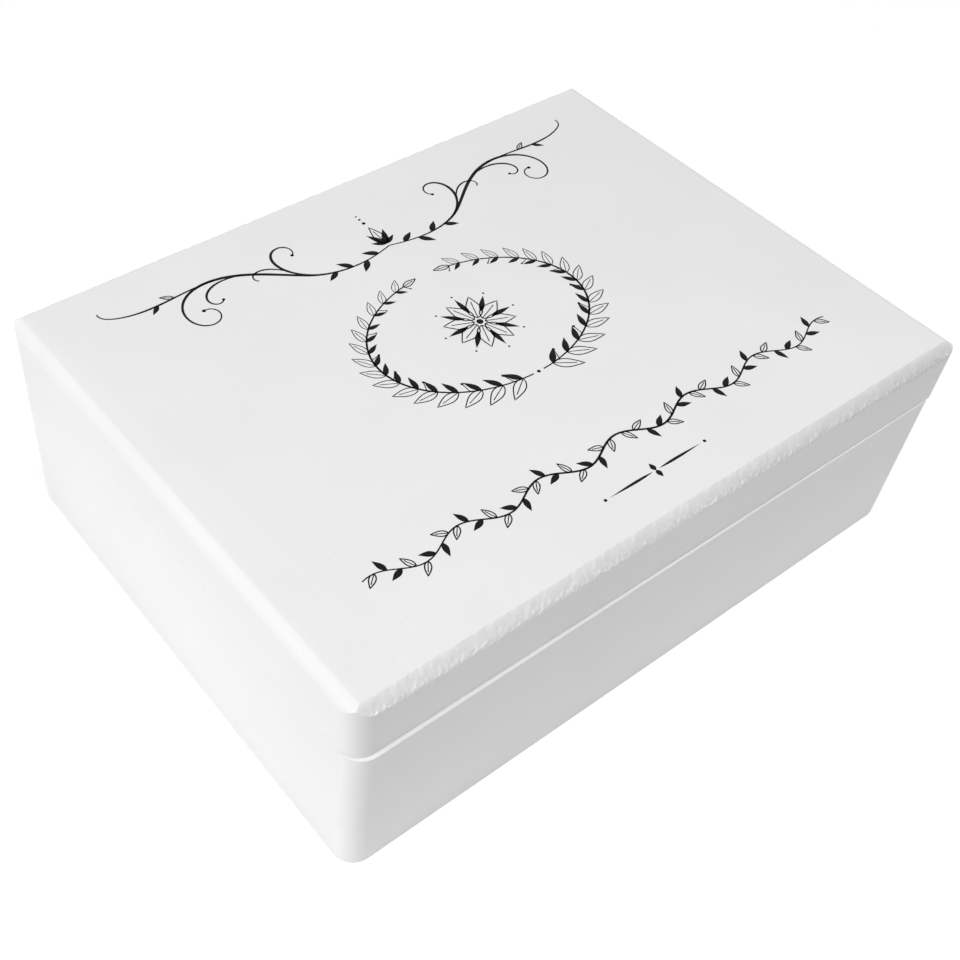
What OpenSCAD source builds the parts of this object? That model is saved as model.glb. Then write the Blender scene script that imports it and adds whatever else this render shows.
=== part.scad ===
// Keepsake box: a painted wooden box for papers and keepsakes, with a lid on
// two small butt hinges.
//
// Millimetres. The origin is the centre of the underside, X runs along the
// box, the front faces -Y and Z is up. The lid is drawn closed.
//
// The base is four boards with finger-jointed corners round a plywood bottom
// that is let into a rabbet. The lid is four rails, sawn off the same frame,
// under a plywood panel with rounded edges. Base and lid are bevelled along
// the back of the seam: the lid turns about the hinge pins until the two
// bevels meet, and stands open there by itself.

/* [Box] */
// Outside length of the box
box_length = 400; // [320:1:480]
// Outside depth of the base, front to back
box_depth = 301; // [240:1:360]
// Height of the closed box
box_height = 131; // [125:1:180]
// Height of the base's rim, where the lid begins
rim_height = 94; // [80:1:100]
// Radius of the four upright corners
corner_radius = 12; // [8:1:12]
// Gap between the base's rim and the closed lid
seam_gap = 0.4; // [0.3:0.1:0.8]
// How far the lid's front stands back from the base's front
lid_setback = 2; // [0:0.5:4]

/* [Boards] */
// Thickness of the side boards and the lid's rails
board_thickness = 12; // [12:1:16]
// Height of each of the two lower fingers of a base corner joint
finger_height = 31.5; // [24:0.5:36]
// Thickness of the plywood bottom
bottom_thickness = 4; // [3:0.5:6]
// How far the bottom is let into each board
rabbet_width = 6; // [4:0.5:8]

/* [Lid panel] */
// Thickness of the plywood panel on top of the lid
panel_thickness = 6.5; // [6.5:0.5:10]
// How far the panel's rounded edge reaches in from the side
edge_run = 6.2; // [4:0.1:7]
// How far the panel's rounded edge reaches down from the top
edge_drop = 6.3; // [4:0.1:6.3]
// Angle through which the rounded edge turns, with a faint crease at each end
edge_turn = 55; // [45:5:85]

/* [Hinges] */
// Distance between the middles of the two hinges
hinge_spacing = 240; // [140:10:260]
// Length of one hinge
hinge_length = 30; // [25:1:50]
// How far the pin lies in from the back face
hinge_inset = 3; // [2.5:0.5:4]
// Angle at which the lid stands open
open_angle = 100; // [90:1:110]
// Thickness of a hinge leaf
leaf_thickness = 1; // [0.8:0.1:1.2]
// Outside radius of the knuckles
knuckle_radius = 2; // [1.8:0.1:2.2]
// Radius of the hinge pin
pin_radius = 1; // [0.8:0.1:1.1]
// Length of a hinge screw
screw_length = 9; // [6:0.5:12]

/* [Hidden] */

$fn = 96;
far = 1000; // longer than any piece
wide = 50;  // wider than any piece is thick
eps = 1;    // how far a cutter runs past what it cuts

// Lid
lid_depth = box_depth - lid_setback;
lid_middle_y = lid_setback / 2;
rail_bottom = rim_height + seam_gap;
rail_height = box_height - panel_thickness - rail_bottom;

// The pins' common axis lies in the middle of the seam, inside the back wall
axis_y = box_depth / 2 - hinge_inset;
axis_z = rim_height + seam_gap / 2;
bevel_angle = open_angle / 2;

// Hinge
knuckle_count = 5;
knuckle_pitch = hinge_length / knuckle_count;
knuckle_gap = 0.25;     // between two knuckles along the pin
pin_clearance = 0.05;   // round the pin
turning_clearance = 0.3; // round a knuckle that passes wood or the other leaf
pin_overhang = 0.3;     // pin beyond the last knuckle
leaf_edge_margin = 1;   // wood left between a leaf and the inside of the wall
leaf_width = board_thickness - hinge_inset - leaf_edge_margin;
recess_clearance = 0.1; // round a leaf in its recess

// Screws: a row of two in each leaf, halfway between its edge and its knuckles
screw_radius = 1;
head_radius = 1.9;
head_height = leaf_thickness - 0.1;
tip_length = 2;
tip_radius = 0.3;
drive_width = 0.4;
drive_length = 2.2;
drive_depth = 0.45;
hole_clearance = 0.03;
hole_depth = screw_length + 0.2;
screw_end_margin = 6;   // from the leaf's end to the middle of a screw
screw_offset_x = hinge_length / 2 - screw_end_margin;
screw_offset_y = (leaf_width + knuckle_radius + turning_clearance) / 2;

paint = "#f3f3f1";
plywood = "#f6f6f4";
nickel = "#c3c1bb";
zinc = "#b0b0ac";

// ---- Outlines -------------------------------------------------------------

// A rectangle about the origin with round corners
module rounded_rectangle(length, depth, radius) {
    square([length - 2 * radius, depth], center = true);
    square([length, depth - 2 * radius], center = true);
    for (side = [-1, 1], end = [-1, 1])
        translate([side * (length / 2 - radius), end * (depth / 2 - radius)])
            circle(r = radius);
}

// What the rounding takes off one top corner of the panel's cross-section.
// The corner is at the origin: the edge runs in along -X and drops along -Y.
module edge_rounding() {
    chord = sqrt(edge_run * edge_run + edge_drop * edge_drop);
    arc_radius = chord / (2 * sin(edge_turn / 2));
    arc_depth = arc_radius * cos(edge_turn / 2);
    difference() {
        translate([-edge_run, -edge_drop])
            square([edge_run + eps, edge_drop + eps]);
        translate([
            -edge_run / 2 - arc_depth * edge_drop / chord,
            -edge_drop / 2 - arc_depth * edge_run / chord
        ])
            circle(r = arc_radius, $fn = 192);
    }
}

// Cross-section of the panel, standing on the X axis
module panel_section(width) {
    difference() {
        translate([-width / 2, 0])
            square([width, panel_thickness]);
        for (side = [0, 1])
            mirror([side, 0])
                translate([width / 2, panel_thickness])
                    edge_rounding();
    }
}

// ---- Shared cutters -------------------------------------------------------

// The space above a plane that slopes down from the pins to the back face.
// direction 1 is for the base, -1 is its mirror image for the lid.
module back_bevel(direction) {
    translate([0, axis_y, axis_z])
        mirror([0, 0, direction < 0 ? 1 : 0])
            rotate([-bevel_angle, 0, 0])
                translate([-far / 2, -eps, -seam_gap / 2])
                    cube([far, wide, wide]);
}

// Puts its children on the hinge axis, at one of the two hinges, with -Y
// towards the inside of the box. direction -1 turns them over for the lid.
module at_hinge(side, direction = 1) {
    translate([side * hinge_spacing / 2, axis_y, axis_z])
        mirror([0, 0, direction < 0 ? 1 : 0])
            children();
}

// A bar round the hinge axis, from one x to another
module axis_bar(radius, from, to) {
    translate([from, 0, 0])
        rotate([0, 90, 0])
            cylinder(r = radius, h = to - from);
}

// Recess for one leaf and its knuckles, with the screws' holes
module hinge_recess() {
    translate([
        -hinge_length / 2 - recess_clearance,
        -leaf_width - recess_clearance,
        -seam_gap / 2 - leaf_thickness
    ])
        cube([
            hinge_length + 2 * recess_clearance,
            leaf_width + recess_clearance,
            leaf_thickness + eps
        ]);
    axis_bar(
        knuckle_radius + turning_clearance,
        -hinge_length / 2 - 2 * pin_overhang,
        hinge_length / 2 + 2 * pin_overhang
    );
    for (end = [-1, 1])
        translate([end * screw_offset_x, -screw_offset_y, -seam_gap / 2 - hole_depth])
            cylinder(r = screw_radius + hole_clearance, h = hole_depth);
}

// ---- Base -----------------------------------------------------------------

// The rounded block that the base is cut from
module base_block() {
    linear_extrude(rim_height)
        rounded_rectangle(box_length, box_depth, corner_radius);
}

// The space that the bottom panel fills, and a little below it for a cutter
module bottom_space(below) {
    length = box_length - 2 * board_thickness + 2 * rabbet_width;
    depth = box_depth - 2 * board_thickness + 2 * rabbet_width;
    translate([-length / 2, -depth / 2, -below])
        cube([length, depth, bottom_thickness + below]);
}

// A board along X, with its outer face at the front (side -1) or at the back
// (side 1). Its own fingers are the lowest and the highest of the three at
// each corner, so it is notched for the short boards' middle fingers.
module long_board(side) {
    near = side < 0 ? -box_depth / 2 : box_depth / 2 - board_thickness;
    difference() {
        intersection() {
            base_block();
            translate([-far / 2, near, 0])
                cube([far, board_thickness, far]);
        }
        for (end = [-1, 1])
            translate([end * box_length / 2, 0, finger_height + finger_height / 2])
                cube([2 * board_thickness, far, finger_height], center = true);
        bottom_space(eps);
    }
}

// A board along Y, with its outer face at the left (side -1) or at the right
// (side 1). It ends at the long boards, but for its middle fingers.
module short_board(side) {
    near = side < 0 ? -box_length / 2 : box_length / 2 - board_thickness;
    inner_depth = box_depth - 2 * board_thickness;
    difference() {
        intersection() {
            base_block();
            union() {
                translate([near, -inner_depth / 2, 0])
                    cube([board_thickness, inner_depth, far]);
                translate([near, -far / 2, finger_height])
                    cube([board_thickness, far, finger_height]);
            }
        }
        bottom_space(eps);
    }
}

module body_front_board() {
    color(paint)
        long_board(-1);
}

module body_back_board() {
    color(paint)
        difference() {
            long_board(1);
            back_bevel(1);
            for (side = [-1, 1])
                at_hinge(side)
                    hinge_recess();
        }
}

module body_left_board() {
    color(paint)
        short_board(-1);
}

module body_right_board() {
    color(paint)
        short_board(1);
}

module bottom_panel() {
    color(plywood)
        bottom_space(0);
}

// ---- Lid ------------------------------------------------------------------

// The rounded block that the lid's rails are cut from
module rail_block() {
    translate([0, lid_middle_y, rail_bottom])
        linear_extrude(rail_height)
            rounded_rectangle(box_length, lid_depth, corner_radius);
}

// A rail along Y, which carries its finger right round both corners
module side_rail(side) {
    near = side < 0 ? -box_length / 2 : box_length / 2 - board_thickness;
    difference() {
        intersection() {
            rail_block();
            translate([near, -far / 2, 0])
                cube([board_thickness, far, far]);
        }
        back_bevel(-1);
    }
}

// A rail along X, which ends at the side rails
module cross_rail(near) {
    length = box_length - 2 * board_thickness;
    translate([-length / 2, near, rail_bottom])
        cube([length, board_thickness, rail_height]);
}

module lid_front_rail() {
    color(paint)
        cross_rail(-box_depth / 2 + lid_setback);
}

module lid_back_rail() {
    color(paint)
        difference() {
            cross_rail(box_depth / 2 - board_thickness);
            back_bevel(-1);
            for (side = [-1, 1])
                at_hinge(side, -1)
                    hinge_recess();
        }
}

module lid_left_rail() {
    color(paint)
        side_rail(-1);
}

module lid_right_rail() {
    color(paint)
        side_rail(1);
}

// The panel covers all four rails. Each of its four edges is rounded straight
// along, so two roundings meet in a mitre that the upright corner cuts off.
module lid_top_panel() {
    color(plywood)
        translate([0, lid_middle_y, box_height - panel_thickness])
            intersection() {
                rotate([90, 0, 90])
                    linear_extrude(far, center = true)
                        panel_section(lid_depth);
                rotate([90, 0, 0])
                    linear_extrude(far, center = true)
                        panel_section(box_length);
                linear_extrude(far)
                    rounded_rectangle(box_length, lid_depth, corner_radius);
            }
}

// ---- Hinges ---------------------------------------------------------------

// One leaf on the hinge axis, lying flat below it. The body's leaf has the odd
// knuckles, first_knuckle 0, and the lid's leaf the even ones, first_knuckle 1.
module hinge_leaf(first_knuckle) {
    start = -hinge_length / 2;
    difference() {
        union() {
            translate([start, -leaf_width, -seam_gap / 2 - leaf_thickness])
                cube([hinge_length, leaf_width, leaf_thickness]);
            for (knuckle = [first_knuckle:2:knuckle_count - 1])
                axis_bar(
                    knuckle_radius,
                    start + knuckle * knuckle_pitch + (knuckle == 0 ? 0 : knuckle_gap / 2),
                    start + (knuckle + 1) * knuckle_pitch
                        - (knuckle == knuckle_count - 1 ? 0 : knuckle_gap / 2)
                );
        }
        for (knuckle = [1 - first_knuckle:2:knuckle_count - 1])
            axis_bar(
                knuckle_radius + turning_clearance,
                start + knuckle * knuckle_pitch - (knuckle == 0 ? eps : knuckle_gap / 2),
                start + (knuckle + 1) * knuckle_pitch
                    + (knuckle == knuckle_count - 1 ? eps : knuckle_gap / 2)
            );
        axis_bar(pin_radius + pin_clearance, start - eps, -start + eps);
        for (end = [-1, 1])
            translate([end * screw_offset_x, -screw_offset_y, -seam_gap / 2 - leaf_thickness - eps]) {
                cylinder(r = screw_radius + hole_clearance, h = leaf_thickness + 2 * eps);
                translate([0, 0, leaf_thickness + eps - head_height])
                    countersink(hole_clearance);
            }
    }
}

// The cone under a screw head, from the shank up to the leaf's face and past it
module countersink(clearance) {
    cylinder(
        h = head_height,
        r1 = screw_radius + clearance,
        r2 = head_radius + clearance
    );
    translate([0, 0, head_height])
        cylinder(h = clearance, r = head_radius + clearance);
}

// The two screws of one leaf, with their heads flush in it
module leaf_screws() {
    for (end = [-1, 1])
        translate([end * screw_offset_x, -screw_offset_y, -seam_gap / 2])
            difference() {
                union() {
                    translate([0, 0, -head_height])
                        cylinder(h = head_height, r1 = screw_radius, r2 = head_radius);
                    translate([0, 0, tip_length - screw_length])
                        cylinder(h = screw_length - tip_length - head_height, r = screw_radius);
                    translate([0, 0, -screw_length])
                        cylinder(h = tip_length, r1 = tip_radius, r2 = screw_radius);
                }
                for (turn = [0, 90])
                    rotate([0, 0, turn])
                        translate([-drive_length / 2, -drive_width / 2, -drive_depth])
                            cube([drive_length, drive_width, drive_depth + eps]);
            }
}

module hinge_pin() {
    end = hinge_length / 2 + pin_overhang;
    bevel = pin_overhang / 2;
    axis_bar(pin_radius, bevel - end, end - bevel);
    for (side = [-1, 1])
        rotate([0, side * 90, 0])
            translate([0, 0, end - bevel])
                cylinder(h = bevel, r1 = pin_radius, r2 = pin_radius - bevel);
}

module left_hinge_body_leaf() { color(nickel) at_hinge(-1) hinge_leaf(0); }
module left_hinge_lid_leaf() { color(nickel) at_hinge(-1, -1) hinge_leaf(1); }
module left_hinge_pin() { color(nickel) at_hinge(-1) hinge_pin(); }
module left_hinge_body_screws() { color(zinc) at_hinge(-1) leaf_screws(); }
module left_hinge_lid_screws() { color(zinc) at_hinge(-1, -1) leaf_screws(); }
module right_hinge_body_leaf() { color(nickel) at_hinge(1) hinge_leaf(0); }
module right_hinge_lid_leaf() { color(nickel) at_hinge(1, -1) hinge_leaf(1); }
module right_hinge_pin() { color(nickel) at_hinge(1) hinge_pin(); }
module right_hinge_body_screws() { color(zinc) at_hinge(1) leaf_screws(); }
module right_hinge_lid_screws() { color(zinc) at_hinge(1, -1) leaf_screws(); }

body_front_board();
body_back_board();
body_left_board();
body_right_board();
bottom_panel();
lid_front_rail();
lid_back_rail();
lid_left_rail();
lid_right_rail();
lid_top_panel();
left_hinge_body_leaf();
left_hinge_lid_leaf();
left_hinge_pin();
left_hinge_body_screws();
left_hinge_lid_screws();
right_hinge_body_leaf();
right_hinge_lid_leaf();
right_hinge_pin();
right_hinge_body_screws();
right_hinge_lid_screws();
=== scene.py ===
"""Keepsake box: a white-painted wooden box with a lid on two butt hinges.

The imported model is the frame. Round it this script builds what the eye sees: boards and
rails whose arrises are softened by paint, the lid panel with its hand-sanded rounded edge,
the printed ornament, and the paint, the ink and the plated steel. Everything is in metres,
in the frame's own axes, with the front of the box towards -Y.
"""

import math

import bmesh
import bpy
from mathutils import Matrix, Vector


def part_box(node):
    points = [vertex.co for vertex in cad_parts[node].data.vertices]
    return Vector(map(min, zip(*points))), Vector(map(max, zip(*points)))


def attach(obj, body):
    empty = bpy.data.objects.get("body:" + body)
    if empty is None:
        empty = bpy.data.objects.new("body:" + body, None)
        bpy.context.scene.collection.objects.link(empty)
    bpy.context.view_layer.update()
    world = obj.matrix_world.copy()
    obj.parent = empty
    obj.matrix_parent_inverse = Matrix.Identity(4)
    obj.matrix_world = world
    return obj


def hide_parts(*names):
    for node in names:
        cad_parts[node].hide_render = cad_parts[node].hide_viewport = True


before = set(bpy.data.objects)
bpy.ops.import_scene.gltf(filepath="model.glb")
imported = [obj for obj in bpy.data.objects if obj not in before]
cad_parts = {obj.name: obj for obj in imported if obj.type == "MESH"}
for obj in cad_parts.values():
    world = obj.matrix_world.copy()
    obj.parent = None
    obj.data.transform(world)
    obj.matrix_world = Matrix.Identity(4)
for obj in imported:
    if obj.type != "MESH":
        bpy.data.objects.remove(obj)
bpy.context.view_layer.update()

MM = 0.001

# ---- Sizes -----------------------------------------------------------------

BASE_BOARDS = ("body_front_board", "body_back_board", "body_left_board", "body_right_board")
LID_RAILS = ("lid_front_rail", "lid_back_rail", "lid_left_rail", "lid_right_rail")
TIGHT_RAILS = ("lid_left_rail", "lid_right_rail")  # paint has nearly closed the seam below them
HINGES = ("left_hinge", "right_hinge")

panel_low, panel_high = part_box("lid_top_panel")
base_low, base_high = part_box("body_front_board")
rail_low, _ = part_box("lid_front_rail")

box_length = panel_high.x - panel_low.x
lid_depth = panel_high.y - panel_low.y
lid_middle_y = (panel_high.y + panel_low.y) / 2
lid_front = lid_middle_y - lid_depth / 2
panel_thickness = panel_high.z - panel_low.z
rim_height = base_high.z
rail_bottom = rail_low.z
glued_level = panel_low.z

corner_radius = 12 * MM
sharp_radius = 7.5 * MM  # the lid's front right corner, which is sanded less than the others
edge_run = 6.2 * MM
edge_drop = 6.3 * MM
front_run = 5.8 * MM  # along the front and the back the edge is sanded flatter
front_turn = math.radians(24)
end_turn = math.radians(62)

ink_thickness = 0.05 * MM
ink_grip = 0.03 * MM  # how far the print is bedded in the paint below it

rim_softness = 0.25 * MM  # paint and sandpaper round the arrises that stand free
seam_softness = 0.1 * MM  # the lid's lower arrises, which shade the seam
joint_softness = 0.04 * MM  # the faint line where two glued pieces meet
tighter_by = 0.32 * MM  # how much of the seam's gap the paint takes up


# ---- Helpers ---------------------------------------------------------------


def linear(colour):
    """A hex sRGB colour as the linear red, green, blue and alpha that Blender wants."""
    parts = [int(colour[place : place + 2], 16) / 255 for place in (1, 3, 5)]
    return [p / 12.92 if p <= 0.04045 else ((p + 0.055) / 1.055) ** 2.4 for p in parts] + [1]


def add(tree, kind, *values, output=0, **settings):
    """Adds a node with its settings, and gives back one of its outputs, or the node for None.
    A kind may end in a colon and its operation. Each input is a plain value or another node's
    output, in the order of the sockets, or in a dictionary by their places or their names."""
    kind, _, operation = kind.partition(":")
    made = tree.nodes.new(kind)
    if operation:
        made.operation = operation
    for setting, value in settings.items():
        setattr(made, setting, value)
    by_name = bool(values) and isinstance(values[0], dict)
    for place, value in values[0].items() if by_name else enumerate(values):
        if isinstance(value, bpy.types.NodeSocket):
            tree.links.new(value, made.inputs[place])
        else:
            made.inputs[place].default_value = value
    return made if output is None else made.outputs[output]


def new_material(name):
    """An empty node material, with its tree."""
    material = bpy.data.materials.new(name)
    material.use_nodes = True
    material.node_tree.nodes.clear()
    return material, material.node_tree


def new_object(name, data):
    """An object in the scene that holds this data."""
    made = bpy.data.objects.new(name, data)
    bpy.context.scene.collection.objects.link(made)
    return made


def geometry_tree(name, numbers, counts=()):
    """A Geometry Nodes tree with its inputs: a mesh, these numbers and counts, a material."""
    tree = bpy.data.node_groups.new(name, "GeometryNodeTree")
    given = [("Geometry", "Geometry")]
    given += [(title, "Float") for title in numbers]
    given += [(title, "Int") for title in counts]
    given.append(("Material", "Material"))
    for title, kind in given:
        tree.interface.new_socket(title, in_out="INPUT", socket_type="NodeSocket" + kind)
    tree.interface.new_socket("Geometry", in_out="OUTPUT", socket_type="NodeSocketGeometry")
    return tree, add(tree, "NodeGroupInput", output=None).outputs


def finish_tree(tree, given, made):
    """Ends a tree: real geometry in its material."""
    made = add(tree, "GeometryNodeRealizeInstances", made)
    made = add(tree, "GeometryNodeSetMaterial", {"Geometry": made, "Material": given["Material"]})
    add(tree, "NodeGroupOutput", made, output=None)
    return tree


def grown(tree, name, data, values):
    """Runs a Geometry Nodes tree with its inputs set, and gives back the plain mesh."""
    holder = new_object(name + "_holder", data)
    modifier = holder.modifiers.new("grown", "NODES")
    modifier.node_group = tree
    for item in tree.interface.items_tree:
        if item.in_out == "INPUT" and item.name in values:
            modifier[item.identifier] = values[item.name]
    evaluated = holder.evaluated_get(bpy.context.evaluated_depsgraph_get())
    mesh = bpy.data.meshes.new_from_object(evaluated)
    mesh.name = name
    bpy.data.objects.remove(holder)
    return mesh


# ---- Paint, ink and steel --------------------------------------------------

PAINT_WHITE = "#F2F2F2"
GRAIN_SPACING = 1.6 * MM  # between the pine's growth lines
GRAIN_LENGTH = 90 * MM  # over which one line changes
MOST_OF_NOISE = (0.3, 0.7)  # nearly all values of a noise lie between these
SHADED = {"output": 2, "data_type": "RGBA", "blend_type": "MULTIPLY"}  # a Mix of two colours


def painted_wood(name, grain_along, grain_depth):
    """Satin white acrylic, sprayed and sanded in thin coats over wood: an even white that
    varies a little in tone, with the finest stipple and the wood's grain just telegraphing
    through. grain_along is the axis that the grain runs along."""
    material, tree = new_material(name)
    place = add(tree, "ShaderNodeTexCoord", output="Object")

    cloud_size = 70 * MM
    dimmest = 0.975
    cloud = add(tree, "ShaderNodeTexNoise", {"Vector": place, "Scale": 1 / cloud_size, "Detail": 3.0})
    shade = add(tree, "ShaderNodeMapRange", cloud, *MOST_OF_NOISE, dimmest, 1.0)
    tone = add(tree, "ShaderNodeMix", {0: 1.0, 6: linear(PAINT_WHITE), 7: shade}, **SHADED)

    # Painted shade on the lid panel's front edge: the paint's tone is darkened, most at the edge's
    # foot and towards the right, for shade that the lamps don't give there. It fades out before the
    # corner
    painted_shade_below = panel_high.z - 0.3 * MM
    least_painted_shade, most_painted_shade = 0.06, 0.16
    painted_shade_from_x, painted_shade_to_x = -130 * MM, 170 * MM
    rightmost_share = 1.6
    corner_fade = 3 * MM
    apart = add(tree, "ShaderNodeSeparateXYZ", place, output=None).outputs
    x, y, z = apart["X"], apart["Y"], apart["Z"]
    from_end = add(tree, "ShaderNodeMath:SUBTRACT", box_length / 2, x)
    from_front = add(tree, "ShaderNodeMath:SUBTRACT", y, panel_low.y)
    nearer_front = add(tree, "ShaderNodeMath:SUBTRACT", from_end, from_front)
    at_front = add(tree, "ShaderNodeMapRange", nearer_front, 0.0, corner_fade)
    in_panel = add(tree, "ShaderNodeMath:GREATER_THAN", z, panel_low.z)
    on_edge = add(tree, "ShaderNodeMapRange", z, panel_high.z - ink_thickness, painted_shade_below)
    to_foot = add(tree, "ShaderNodeMapRange", z, painted_shade_below, panel_low.z, least_painted_shade, most_painted_shade)
    to_right = add(tree, "ShaderNodeMapRange", x, painted_shade_from_x, painted_shade_to_x, 0.0, rightmost_share)
    painted_shade = at_front
    for share in (in_panel, on_edge, to_foot, to_right):
        painted_shade = add(tree, "ShaderNodeMath:MULTIPLY", painted_shade, share)
    # what the painted shade leaves of the paint's tone
    kept = add(tree, "ShaderNodeMath:SUBTRACT", 1.0, painted_shade)
    tone = add(tree, "ShaderNodeMix", {0: 1.0, 6: tone, 7: kept}, **SHADED)

    stretch = [GRAIN_SPACING / GRAIN_LENGTH if axis == grain_along else 1 for axis in "XYZ"]
    stretched = add(tree, "ShaderNodeMapping", {"Vector": place, "Scale": stretch})
    grain = add(
        tree, "ShaderNodeTexNoise", {"Vector": stretched, "Scale": 1 / GRAIN_SPACING, "Detail": 4.0}
    )
    stipple_size = 0.9 * MM
    stipple_depth = 0.006 * MM
    stipple = add(
        tree, "ShaderNodeTexNoise", {"Vector": place, "Scale": 1 / stipple_size, "Detail": 2.0}
    )
    relief = add(tree, "ShaderNodeBump", {"Strength": 1.0, "Distance": grain_depth, "Height": grain})
    relief = add(
        tree,
        "ShaderNodeBump",
        {"Strength": 1.0, "Distance": stipple_depth, "Height": stipple, "Normal": relief},
    )
    smoothest, roughest = 0.42, 0.52
    gloss = add(tree, "ShaderNodeMapRange", stipple, *MOST_OF_NOISE, smoothest, roughest)
    surface = add(
        tree,
        "ShaderNodeBsdfPrincipled",
        {"Base Color": tone, "Roughness": gloss, "IOR": 1.5, "Normal": relief},
    )
    add(tree, "ShaderNodeOutputMaterial", {"Surface": surface}, output=None)
    return material


def plated_steel(name, colour, roughness, mottle):
    """Thin plating on rolled steel: bright, with the fine lines of the rolling along X and
    small cloudy differences in gloss."""
    material, tree = new_material(name)
    place = add(tree, "ShaderNodeTexCoord", output="Object")
    line_spacing = 0.12 * MM
    line_length = 6 * MM
    line_depth = 0.002 * MM
    stretch = (line_spacing / line_length, 1, 1)
    drawn = add(tree, "ShaderNodeMapping", {"Vector": place, "Scale": stretch})
    lines = add(tree, "ShaderNodeTexNoise", {"Vector": drawn, "Scale": 1 / line_spacing, "Detail": 3.0})
    cloud_size = 3 * MM
    dimmest = 0.9
    cloud = add(tree, "ShaderNodeTexNoise", {"Vector": place, "Scale": 1 / cloud_size, "Detail": 4.0})
    gloss = add(
        tree, "ShaderNodeMapRange", cloud, *MOST_OF_NOISE, roughness - mottle, roughness + mottle
    )
    shade = add(tree, "ShaderNodeMapRange", cloud, *MOST_OF_NOISE, dimmest, 1.0)
    tone = add(tree, "ShaderNodeMix", {0: 1.0, 6: linear(colour), 7: shade}, **SHADED)
    relief = add(tree, "ShaderNodeBump", {"Strength": 1.0, "Distance": line_depth, "Height": lines})
    surface = add(
        tree,
        "ShaderNodeBsdfPrincipled",
        {"Base Color": tone, "Metallic": 1.0, "Roughness": gloss, "Normal": relief},
    )
    add(tree, "ShaderNodeOutputMaterial", {"Surface": surface}, output=None)
    return material


def printing_ink(name, colour):
    """Matt black screen-printing ink on paint: nearly black, with pinholes of a slightly
    greyer, glossier tone where the screen's mesh let less ink through."""
    material, tree = new_material(name)
    place = add(tree, "ShaderNodeTexCoord", output="Object")
    mesh_size = 0.35 * MM
    film = 0.004 * MM
    pinholes = (0.35, 0.75)
    greyest = 1.5
    mattest, glossiest = 0.68, 0.55
    mottle = add(tree, "ShaderNodeTexNoise", {"Vector": place, "Scale": 1 / mesh_size, "Detail": 3.0})
    shade = add(tree, "ShaderNodeMapRange", mottle, *pinholes, 1.0, greyest)
    tone = add(tree, "ShaderNodeMix", {0: 1.0, 6: linear(colour), 7: shade}, **SHADED)
    gloss = add(tree, "ShaderNodeMapRange", mottle, *pinholes, mattest, glossiest)
    relief = add(tree, "ShaderNodeBump", {"Strength": 1.0, "Distance": film, "Height": mottle})
    surface = add(
        tree,
        "ShaderNodeBsdfPrincipled",
        {
            "Base Color": tone,
            "Roughness": gloss,
            "IOR": 1.35,
            "Specular IOR Level": 0.2,
            "Normal": relief,
        },
    )
    add(tree, "ShaderNodeOutputMaterial", {"Surface": surface}, output=None)
    return material


pine_along_x = painted_wood("painted_pine_long_boards", "X", grain_depth=0.012 * MM)
pine_along_y = painted_wood("painted_pine_short_boards", "Y", grain_depth=0.012 * MM)
plywood_paint = painted_wood("painted_plywood", "X", grain_depth=0.006 * MM)
black_ink = printing_ink("black_screen_print", "#0E0E0E")
hinge_nickel = plated_steel("nickel_plated_steel", "#C8C5BE", roughness=0.27, mottle=0.06)
screw_zinc = plated_steel("zinc_plated_steel", "#B4B6B8", roughness=0.36, mottle=0.08)


# ---- Boards, rails and bottom ----------------------------------------------


def on_level(edge, levels):
    """True for an edge that lies at one of these heights, at both of its ends."""
    reach = 0.01 * MM
    return any(all(abs(v.co.z - level) < reach for v in edge.verts) for level in levels)


def sharper_corner(place):
    """Where a point of the lid lies once its front right corner has the sharp radius. Points
    move straight away from the middle of the wider rounding."""
    middle = Vector((box_length / 2 - corner_radius, lid_front + corner_radius))
    away = Vector((place.x - middle.x, middle.y - place.y))
    if min(away) <= 0:
        return place
    ahead = away.normalized()
    shift = corner_radius - sharp_radius
    if max(ahead) * shift > min(ahead) * corner_radius:
        reach = corner_radius / max(ahead)
    else:
        across = (ahead.x + ahead.y) * shift
        reach = across + math.sqrt(across**2 - 2 * shift**2 + sharp_radius**2)
    away *= reach / corner_radius
    return Vector((middle.x + away.x, middle.y - away.y, place.z))


def skewed(place):
    """Where a point of the lid lies, as the lid is a little out of square: its front comes
    forward towards the right, so that the step down to the base tapers away."""
    most = 1.4 * MM
    straight_until = -150 * MM
    along = (place.x - straight_until) / (box_length / 2 - straight_until)
    near_front = 1 - (place.y - lid_front) / corner_radius
    shift = most * min(max(along, 0), 1) * min(max(near_front, 0), 1)
    return Vector((place.x, place.y - shift, place.z))


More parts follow.
